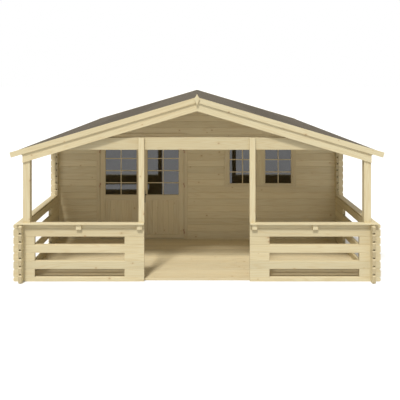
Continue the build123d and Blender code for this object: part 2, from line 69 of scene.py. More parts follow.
# Light
SUN_TRAVEL = (0.30, 1.0, -1.61)
SUN_STRENGTH = 2.9
SUN_WIDTH = 9.5
SKY_AT_HORIZON = 0.37
SKY_OVERHEAD = 0.62
SKY_BLEND = 0.6  # height of a direction where the overhead strength is reached
FLOOR_ALBEDO = 0.70  # for the light that it throws back
FLOOR_ALBEDO_SEEN = 0.92  # for the camera, gloss and glass

# Real sizes that the looks need
LOG_PITCH = 0.114
ROOF_ANGLE = 16.46
FLOOR_BOARD = 0.112
ROOF_BOARD = 0.096
PANEL_BOARD = 0.092

# Colours
WHITE = (1.0, 1.0, 1.0)
SPRUCE = (0.638, 0.554, 0.350)
SPRUCE_PAINTED_LIGHTER = (0.700, 0.608, 0.398)  # painted light: a paler copy of the spruce that lifts the walls in the roof's shade
SPRUCE_FLOOR = (0.680, 0.580, 0.370)
# Painted light: a slightly paler copy of the spruce for the joinery in the roof's shade
SPRUCE_SHADED = (0.655, 0.562, 0.365)
KNOT_EDGE = (0.42, 0.27, 0.145)
KNOT_HEART = (0.31, 0.18, 0.09)
GRIT_DARK = (0.050, 0.042, 0.030)
GRIT_PALE = (0.165, 0.138, 0.100)
FELT_WORN = (0.12, 0.10, 0.075)
HINGE_STEEL = (0.50, 0.33, 0.21)
NAIL_STEEL = (0.42, 0.38, 0.32)
BLACK_METAL = (0.025, 0.025, 0.026)
# Painted shade: the panes are tinted nearly black for the dark room behind them; the dusty
# tone is a little paler
PANE_PAINTED_DARK = (0.035, 0.037, 0.038)
PANE_DUST_AND_PAINTED_DARK = (0.055, 0.055, 0.055)


def rgba(colour):
    return (*colour, 1.0)


def tinted(colour, factors):
    """A colour with its red, green and blue each multiplied by a factor."""
    return rgba(channel * factor for channel, factor in zip(colour, factors))


def shade(colour, factor):
    return rgba(channel * factor for channel in colour)


# Node trees
MIX_SHARE, MIX_FIRST, MIX_SECOND = 0, 6, 7  # inputs of a colour mix
MIX_COLOUR = 2  # its output


class Tree:
    """A small helper that adds nodes and links them."""

    def __init__(self, node_tree):
        self.tree = node_tree
        self.tree.nodes.clear()

    def link(self, source, target):
        self.tree.links.new(source, target)

    def put(self, socket, value):
        if isinstance(value, bpy.types.NodeSocket):
            self.link(value, socket)
        else:
            socket.default_value = value

    def fill(self, node, **values):
        """Put values or links into inputs, whose names have _ in place of a space."""
        for name, value in values.items():
            self.put(node.inputs[name.replace("_", " ")], value)

    def add(self, kind, settings=None, **values):
        node = self.tree.nodes.new(kind)
        for name, value in (settings or {}).items():
            setattr(node, name, value)
        self.fill(node, **values)
        return node

    def math(self, operation, *values):
        node = self.add("ShaderNodeMath", {"operation": operation})
        for socket, value in zip(node.inputs, values):
            self.put(socket, value)
        return node.outputs[0]

    def length(self, *parts):
        """Length of a flat vector."""
        squares = [self.math("POWER", part, 2.0) for part in parts]
        return self.math("SQRT", self.math("ADD", *squares))

    def span(self, value, low, high, to_low=0.0, to_high=1.0):
        """A value carried over from one range to another, and kept inside it."""
        node = self.add("ShaderNodeMapRange")
        for socket, number in zip(node.inputs, (value, low, high, to_low, to_high)):
            self.put(socket, number)
        return node.outputs[0]

    def mix(self, share, first, second, blend="MIX"):
        node = self.add("ShaderNodeMix", {"data_type": "RGBA", "blend_type": blend})
        self.put(node.inputs[MIX_SHARE], share)
        self.put(node.inputs[MIX_FIRST], first)
        self.put(node.inputs[MIX_SECOND], second)
        return node.outputs[MIX_COLOUR]

    def combine(self, x, y, z):
        return self.add("ShaderNodeCombineXYZ", X=x, Y=y, Z=z).outputs[0]

    def scaled(self, parts, scales):
        """A vector from three parts, each multiplied by its own scale."""
        return self.combine(*(self.math("MULTIPLY", part, scale)
                              for part, scale in zip(parts, scales)))

    def toned(self, colour, tone):
        """A colour made darker or paler by one factor."""
        return self.mix(1.0, colour, self.combine(tone, tone, tone), "MULTIPLY")

    def split(self, vector):
        return self.add("ShaderNodeSeparateXYZ", Vector=vector).outputs

    def channels(self, colour):
        return self.add("ShaderNodeSeparateColor", Color=colour).outputs

    def tilted(self, vector, tilt):
        """A vector turned about the Y axis."""
        node = self.add("ShaderNodeVectorRotate", {"rotation_type": "Y_AXIS"},
                        Vector=vector, Angle=radians(tilt))
        return node.outputs[0]

    def place(self):
        """The place in the object's own frame."""
        return self.add("ShaderNodeTexCoord").outputs["Object"]

    def attribute(self, name):
        return self.add("ShaderNodeAttribute", {"attribute_name": name}).outputs

    def chance(self, number, seed):
        """A random value and a random colour that belong to a number."""
        node = self.add("ShaderNodeTexWhiteNoise", {"noise_dimensions": "1D"},
                        W=self.math("ADD", number, seed))
        return node.outputs

    def noise(self, vector, scale=1.0, detail=2.0, roughness=0.5):
        node = self.add("ShaderNodeTexNoise", Vector=vector, Scale=scale, Detail=detail,
                        Roughness=roughness)
        return node.outputs[0]

    def bump(self, shader, height, strength, distance):
        node = self.add("ShaderNodeBump", Strength=strength, Distance=distance,
                        Height=height)
        self.fill(shader, Normal=node.outputs[0])

    def seen_rays(self):
        """1 for the rays of the camera, of gloss and of glass, and 0 for the rest."""
        rays = self.add("ShaderNodeLightPath").outputs
        seen = self.math("MAXIMUM", rays["Is Camera Ray"], rays["Is Glossy Ray"])
        return self.math("MAXIMUM", seen, rays["Is Transmission Ray"])


def new_material(name):
    """A material with an emptied node tree, its shader and its output."""
    material = bpy.data.materials.new(name)
    material.use_nodes = True
    tree = Tree(material.node_tree)
    shader = tree.add("ShaderNodeBsdfPrincipled")
    tree.add("ShaderNodeOutputMaterial", Surface=shader.outputs[0])
    return material, tree, shader


# Camera and light
def set_camera():
    """A level camera in front of the cabin, shifted as the photograph is."""
    data = bpy.data.cameras.new("camera")
    data.lens = LENS
    data.sensor_width = SENSOR
    data.shift_x = (PHOTO_SIZE / 2 - VANISHING_X) / PHOTO_SIZE
    data.shift_y = (HORIZON_Y - PHOTO_SIZE / 2) / PHOTO_SIZE
    data.clip_end = CLIP_END
    camera = bpy.data.objects.new("camera", data)
    front_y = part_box("right_front_balustrade")[0].y
    camera.location = (0.0, front_y - CAMERA_DISTANCE, CAMERA_HEIGHT)
    camera.rotation_euler = (QUARTER_TURN, 0.0, 0.0)
    scene.collection.objects.link(camera)
    scene.camera = camera


def set_sun():
    """One broad, soft light from the upper left in front."""
    data = bpy.data.lights.new("sun", "SUN")
    data.energy = SUN_STRENGTH
    data.angle = radians(SUN_WIDTH)
    sun = bpy.data.objects.new("sun", data)
    sun.rotation_euler = Vector(SUN_TRAVEL).to_track_quat("-Z", "Y").to_euler()
    scene.collection.objects.link(sun)


def set_world():
    """White where the camera, gloss or glass sees it, and a soft fill for the rest."""
    world = bpy.data.worlds.new("studio")
    world.use_nodes = True
    tree = Tree(world.node_tree)
    direction = tree.add("ShaderNodeTexCoord").outputs["Generated"]
    height = tree.split(direction)[Z]
    sky = tree.span(height, 0.0, SKY_BLEND, SKY_AT_HORIZON, SKY_OVERHEAD)
    background = tree.add("ShaderNodeBackground", Color=rgba(WHITE),
                          Strength=tree.math("MAXIMUM", tree.seen_rays(), sky))
    tree.add("ShaderNodeOutputWorld", Surface=background.outputs[0])
    scene.world = world


# Where two boards lie in the grain pattern, and how much their tones differ
STATION = 7.31
WOOD_SEED = 0.37
VARIATION = 0.10
VARIATION_SHADED = 0.06
PALER_SHARE = 0.45  # of the variation, towards paler boards

# Knots. A cell of the pattern holds one, or none where its chance is low.
KNOT_CELL_LENGTH = 0.55
KNOT_CELL_WIDTH = 0.11
KNOT_RANDOMNESS = 0.9
KNOT_STRETCH = 0.75  # below 1, a knot is longer along the grain
KNOT_CHANCES = (0.55, 1.0)
KNOT_RADII = (0.0001, 0.0150)
KNOT_BLUR = (0.6, 1.25)  # in radii from the knot's middle, as the next two
HEART_BLUR = (0.0, 0.9)
HALO_BLUR = (1.0, 3.2)
KNOT_BEND = -0.8  # how far the fibres go round a knot

# Grain: scales are along the fibres, across them and into the board
FIGURE_SCALES = (0.55, 9.0, 9.0)
FIGURE_NOISE = {"roughness": 0.45}
RING_WAVES = 74.0
RING_LINES = 60.0
RING_SHARPNESS = 2.6
FIBRE_SCALES = (5.0, 420.0, 420.0)
FIBRE_NOISE = {"detail": 3.0, "roughness": 0.6}
BROAD_SCALES = (0.8, 5.0, 1.0)

# Tones of the wood: factors for its colour, and how much of each is mixed in
WARM = (1.0, 0.94, 0.84)
WARM_SHARE = 0.45
BROAD_SHADE = 0.88
BROAD_RANGE = (0.35, 0.7)
BROAD_SHARE = 0.35
LATE_WOOD = (0.82, 0.70, 0.55)
RING_SHARE = 0.34
HALO_SHARE = 0.22
FIBRE_SHADE = 0.70
FIBRE_RANGE = (0.35, 0.75)
FIBRE_SHARE = 0.16
KNOT_SHARE = 0.62

# Surface of the wood
WOOD_GLOSS = 0.3
GLOSS_RANGE = (0.3, 0.8)
WOOD_ROUGHNESS = (0.52, 0.72)
FIBRE_RELIEF = 0.4
RING_RELIEF = -0.35
KNOT_RELIEF = 0.5
WOOD_BUMP = {"strength": 0.35, "distance": 0.0009}

# Ends of logs and boards
END_FACING = (0.75, 0.9)
END_WAVE_NOISE = {"scale": 22.0}
END_WAVE_SIZE = 0.012
END_REACH_ACROSS = 0.07
END_REACH_DEEP = 0.05
END_RINGS = 1500.0
END_SHADE = 0.80
END_LATE_WOOD = (0.62, 0.54, 0.44)


def other_axis(first, second):
    return X + Y + Z - first - second


def wood_coordinates(tree, grain, face, pitch, start, tilt):
    """Grain-wise, width-wise and depth-wise place in the object's own frame, and the
    board's number. A board's own frame comes from its mesh where grain is None."""
    if grain is None:
        parts = tree.split(tree.attribute("board_place")["Vector"])
        return (*parts, tree.attribute("board_number")["Fac"])
    place = tree.place()
    if tilt:
        place = tree.tilted(place, tilt)
    parts = tree.split(place)
    along, across, deep = (parts[axis] for axis in (grain, other_axis(grain, face), face))
    number = 0.0
    if pitch:
        shifted = tree.math("SUBTRACT", across, start)
        number = tree.math("FLOOR", tree.math("DIVIDE", shifted, pitch))
    return along, across, deep, number


def wood_knots(tree, along, across):
    """How much a place belongs to a knot, its heart and its halo, and how far to the side
    the knot's middle is. Knots run through the board, so only its wide side counts."""
    cells = tree.combine(tree.math("DIVIDE", along, KNOT_CELL_LENGTH),
                         tree.math("DIVIDE", across, KNOT_CELL_WIDTH), 0.0)
    knots = tree.add("ShaderNodeTexVoronoi", {"voronoi_dimensions": "2D"}, Vector=cells,
                     Scale=1.0, Randomness=KNOT_RANDOMNESS).outputs
    centre = tree.split(knots["Position"])
    here = tree.split(cells)
    off_along, off_across = (
        tree.math("MULTIPLY", tree.math("SUBTRACT", here[axis], centre[axis]), size)
        for axis, size in ((X, KNOT_CELL_LENGTH), (Y, KNOT_CELL_WIDTH)))
    distance = tree.length(tree.math("MULTIPLY", off_along, KNOT_STRETCH), off_across)
    luck = tree.channels(knots["Color"])[0]
    radius = tree.span(luck, *KNOT_CHANCES, *KNOT_RADII)
    nearness = tree.math("DIVIDE", distance, radius)
    knot, heart, halo = (tree.span(nearness, *blur, 1.0, 0.0)
                         for blur in (KNOT_BLUR, HEART_BLUR, HALO_BLUR))
    return knot, heart, halo, off_across


def wood_grain(tree, place):
    """The growth rings and the fibres at a place."""
    figure = tree.noise(tree.scaled(place, FIGURE_SCALES), **FIGURE_NOISE)
    lines = tree.math("MULTIPLY", place[1], RING_LINES)
    waves = tree.math("SINE", tree.math("MULTIPLY_ADD", figure, RING_WAVES, lines))
    rings = tree.math("POWER", tree.span(waves, -1.0, 1.0), RING_SHARPNESS)
    fibres = tree.noise(tree.scaled(place, FIBRE_SCALES), **FIBRE_NOISE)
    return rings, fibres


def end_grain(tree, colour, grain, tilt, across, deep, base):
    """Growth rings and a darker tone on the ends of logs and boards."""
    normal = tree.add("ShaderNodeNewGeometry").outputs["True Normal"]
    if tilt:
        normal = tree.tilted(normal, tilt)
    mask = tree.span(tree.math("ABSOLUTE", tree.split(normal)[grain]), *END_FACING)
    waves = tree.noise(tree.combine(across, deep, 0.0), **END_WAVE_NOISE)
    centre_off = tree.length(tree.math("PINGPONG", across, END_REACH_ACROSS),
                             tree.math("PINGPONG", deep, END_REACH_DEEP))
    radius = tree.math("MULTIPLY_ADD", waves, END_WAVE_SIZE, centre_off)
    rings = tree.span(tree.math("SINE", tree.math("MULTIPLY", radius, END_RINGS)), -1.0, 1.0)
    tone = tree.mix(rings, shade(base, END_SHADE), tinted(base, END_LATE_WOOD))
    return tree.mix(mask, colour, tone)


def wood(name, grain=None, face=Y, pitch=None, start=0.0, tilt=0.0, base=SPRUCE, seed=0.0,
         variation=VARIATION):
    """Planed spruce. grain is the axis that the fibres follow and face the axis that the
    wide side looks along. pitch and start give the courses that a stack is made of."""
    material, tree, shader = new_material(name)
    along, across, deep, number = wood_coordinates(tree, grain, face, pitch, start, tilt)
    chances = tree.channels(tree.chance(number, seed + WOOD_SEED)["Color"])
    along = tree.math("ADD", along, tree.math("MULTIPLY", chances[0], STATION))
    across = tree.math("MULTIPLY_ADD", chances[1], STATION, across)
    deep = tree.math("MULTIPLY_ADD", chances[2], STATION, deep)

    knot, heart, halo, off_across = wood_knots(tree, along, across)
    bend = tree.math("MULTIPLY", tree.math("MULTIPLY", halo, halo),
                     tree.math("MULTIPLY", off_across, KNOT_BEND))
    bent = tree.math("ADD", across, bend)
    rings, fibres = wood_grain(tree, (along, bent, deep))
    broad = tree.noise(tree.scaled((along, across, deep), BROAD_SCALES))

    # Colour: the board's own warmth, then rings, fibres, knots, ends and the board's tone
    late = tinted(base, LATE_WOOD)
    colour = tree.mix(tree.math("MULTIPLY", chances[2], WARM_SHARE), rgba(base),
                      tinted(base, WARM))
    colour = tree.mix(tree.span(broad, *BROAD_RANGE, 0.0, BROAD_SHARE), colour,
                      shade(base, BROAD_SHADE))
    colour = tree.mix(tree.math("MULTIPLY", rings, RING_SHARE), colour, late)
    colour = tree.mix(tree.span(fibres, *FIBRE_RANGE, 0.0, FIBRE_SHARE), colour,
                      shade(base, FIBRE_SHADE))
    colour = tree.mix(tree.math("MULTIPLY", halo, HALO_SHARE), colour, late)
    knot_colour = tree.mix(heart, rgba(KNOT_EDGE), rgba(KNOT_HEART))
    colour = tree.mix(tree.math("MULTIPLY", knot, KNOT_SHARE), colour, knot_colour)
    if grain is not None:
        colour = end_grain(tree, colour, grain, tilt, bent, deep, base)
    tone = tree.span(chances[0], 0.0, 1.0, 1.0 - variation, 1.0 + variation * PALER_SHARE)
    tree.fill(shader, Base_Color=tree.toned(colour, tone), Specular_IOR_Level=WOOD_GLOSS,
              Roughness=tree.span(fibres, *GLOSS_RANGE, *WOOD_ROUGHNESS))

    relief = tree.math("MULTIPLY_ADD", fibres, FIBRE_RELIEF,
                       tree.math("MULTIPLY", rings, RING_RELIEF))
    relief = tree.math("MULTIPLY_ADD", knot, KNOT_RELIEF, relief)
    tree.bump(shader, relief, **WOOD_BUMP)
    return material


# Felt
GRIT_NOISE = {"scale": 900.0, "detail": 3.0, "roughness": 0.7}
GRIT_RANGE = (0.35, 0.7)
GRIT_GLOSS_RANGE = (0.3, 0.7)
GRIT_ROUGHNESS = (0.78, 0.97)
PATCH_NOISE = {"scale": 2.2, "detail": 4.0, "roughness": 0.6}
PATCH_RANGE = (0.4, 0.75)
PATCH_SHARE = 0.4
STRIP_SEED = 0.5
STRIP_TONES = (0.86, 1.10)  # darkest and palest strip of felt
FELT_GLOSS = 0.1
FELT_BUMP = {"strength": 0.6, "distance": 0.0012}


def felt_material():
    """Bitumen felt with mineral grit, a little paler where it has worn."""
    material, tree, shader = new_material("felt_grit")
    place = tree.place()
    grit = tree.noise(place, **GRIT_NOISE)
    patches = tree.noise(place, **PATCH_NOISE)
    colour = tree.mix(tree.span(grit, *GRIT_RANGE), rgba(GRIT_DARK), rgba(GRIT_PALE))
    colour = tree.mix(tree.span(patches, *PATCH_RANGE, 0.0, PATCH_SHARE), colour,
                      rgba(FELT_WORN))
    chance = tree.chance(tree.attribute("board_number")["Fac"], STRIP_SEED)["Value"]
    colour = tree.toned(colour, tree.span(chance, 0.0, 1.0, *STRIP_TONES))
    tree.fill(shader, Base_Color=colour, Specular_IOR_Level=FELT_GLOSS,
              Roughness=tree.span(grit, *GRIT_GLOSS_RANGE, *GRIT_ROUGHNESS))
    tree.bump(shader, grit, **FELT_BUMP)
    return material


# Metals
DRAWN_LENGTH_SCALE = 6.0
DRAWN_NOISE = {"detail": 3.0}
DRAWN_RANGE = (0.3, 0.7)
DRAWN_ROUGHNESS = 0.08
DULL_NOISE = {"scale": 14.0, "detail": 4.0, "roughness": 0.6}
DULL_RANGE = (0.35, 0.75)
DULL_GLOSS_RANGE = (0.3, 0.8)
DULL_SHADE = 0.72
DULL_ROUGHNESS = 0.22
METAL_BUMP = {"strength": 0.2, "distance": 0.0003}


def metal(name, base, roughness, metallic, streak):
    """Sheet or wire metal with fine drawn marks and dull patches."""
    material, tree, shader = new_material(name)
    place = tree.place()
    marks = tree.scaled(tree.split(place), (streak, streak, DRAWN_LENGTH_SCALE))
    drawn = tree.noise(marks, **DRAWN_NOISE)
    dull = tree.noise(place, **DULL_NOISE)
    colour = tree.mix(tree.span(dull, *DULL_RANGE), rgba(base), shade(base, DULL_SHADE))
    rough = tree.math(
        "ADD", tree.span(dull, *DULL_GLOSS_RANGE, roughness, roughness + DULL_ROUGHNESS),
        tree.span(drawn, *DRAWN_RANGE, 0.0, DRAWN_ROUGHNESS))
    tree.fill(shader, Base_Color=colour, Metallic=metallic, Roughness=rough)
    tree.bump(shader, drawn, **METAL_BUMP)
    return material


# Glass
GLASS_IOR = 1.90
FILM_NOISE = {"scale": 5.0, "detail": 4.0, "roughness": 0.6}
FILM_RANGE = (0.3, 0.8)
FILM_ROUGHNESS = (0.015, 0.05)
PANE_WAVE_NOISE = {"scale": 1.6, "detail": 1.0}
PANE_BUMP = {"strength": 0.05, "distance": 0.002}


def glass_material():
    """Panes tinted nearly black, a painted shade for the dark room behind them, with a faint
    paler film of dust.
    """
    material, tree, shader = new_material("pane_glass")
    place = tree.place()
    film = tree.noise(place, **FILM_NOISE)
    waves = tree.noise(place, **PANE_WAVE_NOISE)
    tree.fill(shader, Base_Color=tree.mix(film, rgba(PANE_PAINTED_DARK), rgba(PANE_DUST_AND_PAINTED_DARK)),
              Roughness=tree.span(film, *FILM_RANGE, *FILM_ROUGHNESS),
              Transmission_Weight=1.0, IOR=GLASS_IOR)
    tree.bump(shader, waves, **PANE_BUMP)
    return material


def floor_material():
    """Pale studio floor that keeps the shadow."""
    material, tree, shader = new_material("studio_floor")
    albedo = tree.span(tree.seen_rays(), 0.0, 1.0, FLOOR_ALBEDO, FLOOR_ALBEDO_SEEN)
    tree.fill(shader, Base_Color=tree.combine(albedo, albedo, albedo), Roughness=1.0,
              Specular_IOR_Level=0.0)
    return material


# Mesh pieces
BOARD_EASE = 0.0025
EASE_SEGMENTS = 2
EASE_PROFILE = 0.6
EASE_LIMIT = 0.3  # of a board's smallest side
GRAIN_SHIFT = 5.0
NAIL_RADIUS = 0.0028
NAIL_RISE = 0.0006
NAIL_SIDES = 8
NAIL_TAPER = 0.7


def place_piece(name, mesh, body, material, slot, *replaced):
    """Turn a finished mesh into one piece that rides on a body."""
    data = bpy.data.meshes.new(name)
    mesh.to_mesh(data)
    mesh.free()
    piece = bpy.data.objects.new(name, data)
    scene.collection.objects.link(piece)
    data.materials.append(material)
    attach(piece, body)
    if replaced:
        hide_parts(*replaced)


class Boards:
    """Boards and bars with eased edges, gathered into one mesh. Each remembers its own
    frame, so that its grain runs along it."""

    def __init__(self, name, seed):
        self.name = name
        self.mesh = bmesh.new()
        self.place = self.mesh.verts.layers.float_vector.new("board_place")
        self.number = self.mesh.verts.layers.float.new("board_number")
        self.count = 0
        self.chance = random.Random(seed)

    def add(self, low, high, along, face, ease=BOARD_EASE, turn=None):
        """A board between two corners. along and face are its axes; turn is a matrix that
        puts the finished board in place."""
        self.count += 1
        size = [b - a for a, b in zip(low, high)]
        middle = Vector([(a + b) / 2 for a, b in zip(low, high)])
        corners = bmesh.ops.create_cube(self.mesh, size=1.0)["verts"]
        bmesh.ops.scale(self.mesh, vec=size, verts=corners)
        edges = list({edge for vertex in corners for edge in vertex.link_edges})
        bevelled = bmesh.ops.bevel(self.mesh, geom=edges, segments=EASE_SEGMENTS,
                                   offset=min(ease, EASE_LIMIT * min(size)),
                                   profile=EASE_PROFILE, affect="EDGES")
        width = other_axis(along, face)
        shift = self.chance.uniform(0.0, GRAIN_SHIFT)
        for vertex in self.connected(bevelled["verts"]):
            local = vertex.co.copy()
            vertex[self.place] = [local[axis] + shift for axis in (along, width, face)]
            vertex[self.number] = self.count
            vertex.co = local + middle
            if turn:
                vertex.co = turn @ vertex.co

    def connected(self, some):
        """Every vertex of the pieces that some vertices belong to."""
        found = set(some)
        waiting = list(some)
        while waiting:
            for edge in waiting.pop().link_edges:
                for vertex in edge.verts:
                    if vertex not in found:
                        found.add(vertex)
                        waiting.append(vertex)
        return found

    def finish(self, body, material, slot, *replaced):
        bmesh.ops.recalc_face_normals(self.mesh, faces=self.mesh.faces)
        place_piece(self.name, self.mesh, body, material, slot, *replaced)


class Heads:
    """Small round heads of nails and screws, gathered into one mesh."""

    def __init__(self, name):
        self.name = name
        self.mesh = bmesh.new()

    def add(self, place, normal, radius=NAIL_RADIUS, height=NAIL_RISE):
        """A head that lies at a place and looks along a normal."""
        towards = Vector(normal)
        turn = towards.to_track_quat("Z", "Y").to_matrix().to_4x4()
        middle = Matrix.Translation(Vector(place) + towards * height / 2)
        bmesh.ops.create_cone(self.mesh, cap_ends=True, segments=NAIL_SIDES,
                              radius1=radius, radius2=NAIL_TAPER * radius, depth=height,
                              matrix=middle @ turn)

    def finish(self, body):
        place_piece(self.name, self.mesh, body, nail_steel, "hinge_steel")


def steps(low, high, spacing):
    """Places from low to high, evenly spread, about a spacing apart."""
    count = max(1, round((high - low) / spacing))
    return [low + (high - low) * number / count for number in range(count + 1)]


def pairs(places):
    """Each place with the next one."""
    return list(zip(places, places[1:]))


set_camera()
set_sun()
set_world()

# Materials of the solids that stay
log_courses = {"pitch": LOG_PITCH, "start": -LOG_PITCH / 2}
spruce_board = wood("spruce_board")
floor_wood = wood("floor_wood", base=SPRUCE_FLOOR, seed=5.0)
joinery_wood = wood("joinery_wood", base=SPRUCE_SHADED, variation=VARIATION_SHADED, seed=11.0)
side_logs = wood("side_logs", grain=Y, face=X, pitch=LOG_PITCH)
front_logs = wood("front_logs", grain=X, face=Y, seed=40.0, **log_courses)
# Painted light: the cabin's front walls and gable get the paler spruce, lifting the roof's
# shade.
gable_logs_painted_lighter = wood("gable_logs_painted_lighter", grain=X, face=Y, base=SPRUCE_PAINTED_LIGHTER, seed=80.0, **log_courses)
across_beam = wood("across_beam", grain=X, face=Y, seed=120.0)
upright = wood("upright", grain=Z, face=Y, seed=131.0)
lengthwise = wood("lengthwise", grain=Y, face=X, seed=140.0)
right_slope = wood("right_slope", grain=X, face=Y, tilt=-ROOF_ANGLE, seed=150.0)
left_slope = wood("left_slope", grain=X, face=Y, tilt=ROOF_ANGLE, seed=160.0)
flat_across = wood("flat_across", grain=X, face=Z, seed=170.0)
flat_lengthwise = wood("flat_lengthwise", grain=Y, face=Z, seed=180.0)
felt = felt_material()
steel = metal("hinge_steel", HINGE_STEEL, roughness=0.50, metallic=0.1, streak=300.0)
nail_steel = metal("nail_steel", NAIL_STEEL, roughness=0.45, metallic=0.8, streak=300.0)
black_metal = metal("black_metal", BLACK_METAL, roughness=0.30, metallic=0.3, streak=120.0)
glass = glass_material()

finishes = {
    "right_front_balustrade": front_logs,
    "left_front_balustrade": front_logs,
    "right_side_lower_logs": side_logs,
    "left_side_lower_logs": side_logs,
    "right_side_upper_logs": side_logs,
    "left_side_upper_logs": side_logs,
    "front_wall_left": gable_logs_painted_lighter,
    "front_wall_right": gable_logs_painted_lighter,
    "front_gable": gable_logs_painted_lighter,
    "back_wall": front_logs,
    "right_front_rail": flat_across,
    "left_front_rail": flat_across,
    "right_side_rail": flat_lengthwise,
    "left_side_rail": flat_lengthwise,
    "rail_brackets": upright,
    "right_inner_post": upright,
    "left_inner_post": upright,
    "right_outer_post": upright,
    "left_outer_post": upright,
    "veranda_beam": across_beam,
    "left_purlin": lengthwise,
    "ridge_purlin": lengthwise,
    "right_purlin": lengthwise,
    "right_roof_boards": right_slope,
    "left_roof_boards": left_slope,
    "right_roof_felt": felt,
    "left_roof_felt": felt,
    "ridge_cap": felt,
    "right_front_barge_boards": right_slope,
    "left_front_barge_boards": left_slope,
    "right_back_barge_boards": right_slope,
    "left_back_barge_boards": left_slope,
    "ridge_ornament": upright,
    "veranda_floor": flat_across,
    "cabin_floor": flat_across,
    "door_frame": upright,
    "door_trim": upright,
    "left_door_leaf": upright,
    "right_door_leaf": upright,
    "left_door_glass": glass,
    "right_door_glass": glass,
    "left_door_hinges": steel,
    "right_door_hinges": steel,
    "frame_hinges": steel,
    "door_handles": black_metal,
    "window_frame": upright,
    "window_trim": upright,
    "window_sashes": upright,
    "window_glass": glass,
}


def dress_solids():
    """Give each solid its material."""
    for name, material in finishes.items():
        data = nodes[name].data
        data.materials.clear()
        data.materials.append(material)


dress_solids()

# Floors
JOIST_SPACING = 0.6
NAIL_MARGIN = 0.025  # nails from the edges of a floor board
BOARD_GAP = 0.0006
PLANK_EASE = 0.003  # of floor boards and of the boards in the doors


def floor_boards(name, node, seed):
    """Boards side to side in the place of a floor, nailed to the joists below."""
    low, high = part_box(node)
    boards = Boards(name, seed)
    nails = Heads(name + "_nails")
    count = max(1, round((high.y - low.y) / FLOOR_BOARD))
    width = (high.y - low.y) / count
    for number in range(count):
        near = low.y + number * width
        boards.add((low.x, near + BOARD_GAP, low.z),
                   (high.x, near + width - BOARD_GAP, high.z), X, Z, ease=PLANK_EASE)
        for x in steps(low.x + NAIL_MARGIN, high.x - NAIL_MARGIN, JOIST_SPACING):
            for y in (near + NAIL_MARGIN, near + width - NAIL_MARGIN):
                nails.add((x, y, high.z), (0, 0, 1))
    nails.finish("cabin")
    boards.finish("cabin", floor_wood, "floor_board", node)


floor_boards("veranda_boards", "veranda_floor", seed=5)
floor_boards("cabin_boards", "cabin_floor", seed=6)

# Roof boards and the strips of felt on them
BOARD_THICKNESS = 0.019
ROOF_END_GAP = 0.0005
FELT_STRIP = 0.92
FELT_LAP = 0.09
FELT_SHEET = 0.0021
LAP_RISE = 0.0007
SHEET_EASE = LAP_RISE / 2
LAP_EASE = LAP_RISE / 3
CLOUT_RADIUS = 0.005
CLOUT_RISE = 0.0002
CLOUT_SPACING = 0.15
CLOUT_INSET = 0.03
slope = radians(ROOF_ANGLE)
felt_low, felt_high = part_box("right_roof_felt")
boards_low, boards_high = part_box("right_roof_boards")
ridge_top = felt_high.z


def on_slope(side):
    """Matrix from a flat roof half, x down the slope and z up from it, to its slope."""
    turn = Matrix.Rotation(slope, MATRIX_ROWS, "Y")
    flip = Matrix.Scale(side, MATRIX_ROWS, (1.0, 0.0, 0.0))
    return Matrix.Translation((0.0, 0.0, ridge_top)) @ flip @ turn


def roof_boards(label, turn, under, top, seed):
    """Boards from the ridge to the eaves, between two depths below the ridge's top."""
    start = -under * sin(slope) / cos(slope)
    reach = (boards_high.x + top * sin(slope)) / cos(slope) - ROOF_END_GAP
    boards = Boards(label + "_slope_boards", seed)
    count = round((boards_high.y - boards_low.y) / ROOF_BOARD)
    width = (boards_high.y - boards_low.y) / count
    for number in range(count):
        near = boards_low.y + number * width
        boards.add((start, near + BOARD_GAP, under),
                   (reach, near + width - BOARD_GAP, top), X, Z, turn=turn)
    boards.finish("cabin", spruce_board, "spruce_board", label + "_roof_boards")


def felt_strips(label, side, turn, under, seed):
    """Strips along the roof that lap towards the eaves, with a row of clouts in each."""
    sheet = Boards(label + "_felt_strips", seed)
    clouts = Heads(label + "_clouts")
    top = under + FELT_SHEET
    lap_top = top + LAP_RISE
    reach = felt_high.x / cos(slope) - ROOF_END_GAP
    for upper, lower in pairs(steps(-under, reach, FELT_STRIP)):
        sheet.add((upper, felt_low.y, under), (lower, felt_high.y, top), Y, Z,
                  ease=SHEET_EASE, turn=turn)
        sheet.add((lower - FELT_LAP, felt_low.y, top), (lower, felt_high.y, lap_top), Y, Z,
                  ease=LAP_EASE, turn=turn)
        for y in steps(felt_low.y + CLOUT_INSET, felt_high.y - CLOUT_INSET, CLOUT_SPACING):
            place = turn @ Vector((lower - CLOUT_INSET, y, lap_top))
            clouts.add(place, (side * sin(slope), 0.0, cos(slope)), CLOUT_RADIUS, CLOUT_RISE)
    clouts.finish("cabin")
    sheet.finish("cabin", felt, "roof_felt", label + "_roof_felt")


def roof_half(side, label, seed):
    """The boards and the felt on one side of the ridge."""
    turn = on_slope(side)
    felt_depth = (ridge_top - boards_high.z) * cos(slope)
    roof_boards(label, turn, -(felt_depth + BOARD_THICKNESS), -felt_depth, seed)
    felt_strips(label, side, turn, -felt_depth, seed + 1)


roof_half(1, "right", seed=21)
roof_half(-1, "left", seed=31)

# Ornament at the front of the ridge
ORNAMENT_WIDEST = 0.072  # below its top
ORNAMENT_EASE = 0.001


